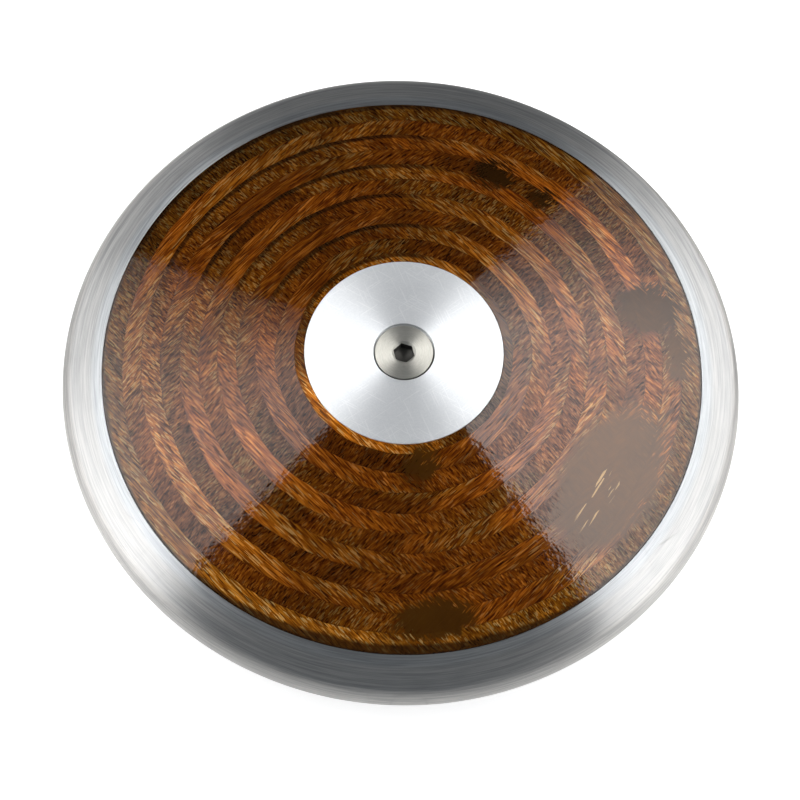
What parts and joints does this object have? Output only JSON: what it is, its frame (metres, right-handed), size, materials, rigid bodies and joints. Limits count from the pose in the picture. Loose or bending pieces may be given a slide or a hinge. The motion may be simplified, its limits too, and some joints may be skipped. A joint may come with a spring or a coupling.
{
  "type": "discus",
  "caption": "Throwing discus with turned laminated wooden sides in a round-nosed steel rim, flush metal hub plates and a socket-head centre screw over a weighted core.",
  "frame": {"origin": "centre of the discus, on its spin axis and in the plane where the two wooden sides meet", "axes": "+Z along the spin axis, out of the upper hub plate that holds the centre screw; +X to the right in the picture and +Y away from its camera"},
  "size_m": [0.181, 0.181, 0.038],
  "materials": {
    "rim_steel": "satin",
    "lacquered_laminate": "gloss",
    "turned_aluminium": "satin",
    "screw_steel": "satin",
    "weight_steel": "matte",
    "packing_rubber": "matte",
    "dowel_wood": "matte"
  },
  "bodies": {
    "discus": {"rim": "rim_steel", "upper_side": "lacquered_laminate", "lower_side": "lacquered_laminate", "lower_hub_plate": "turned_aluminium", "sleeve_nut": "screw_steel", "balance_weight_1": "weight_steel", "balance_weight_2": "weight_steel", "balance_weight_3": "weight_steel", "balance_weight_4": "weight_steel", "upper_packing_ring": "packing_rubber", "lower_packing_ring": "packing_rubber", "locking_dowel_1": "dowel_wood", "locking_dowel_2": "dowel_wood", "locking_dowel_3": "dowel_wood", "locking_dowel_4": "dowel_wood", "locking_dowel_5": "dowel_wood", "locking_dowel_6": "dowel_wood", "locking_dowel_7": "dowel_wood", "locking_dowel_8": "dowel_wood"},
    "hub_cover": {"upper_hub_plate": "turned_aluminium"},
    "screw": {"centre_screw": "screw_steel"}
  },
  "joints": [
    {"name": "cover_lift", "type": "slide", "parent": "discus", "child": "hub_cover", "axis": [0, 0, 1], "range_m": [0, 0.01375]},
    {"name": "screw_turn", "type": "hinge", "parent": "hub_cover", "child": "screw", "pos_m": [0, 0, 0], "axis": [0, 0, 1], "range_deg": [0, 3960]}
  ],
  "couplings": [
    {"joint": "screw_turn", "follows": "cover_lift", "rad_per_m": 5026.5}
  ]
}
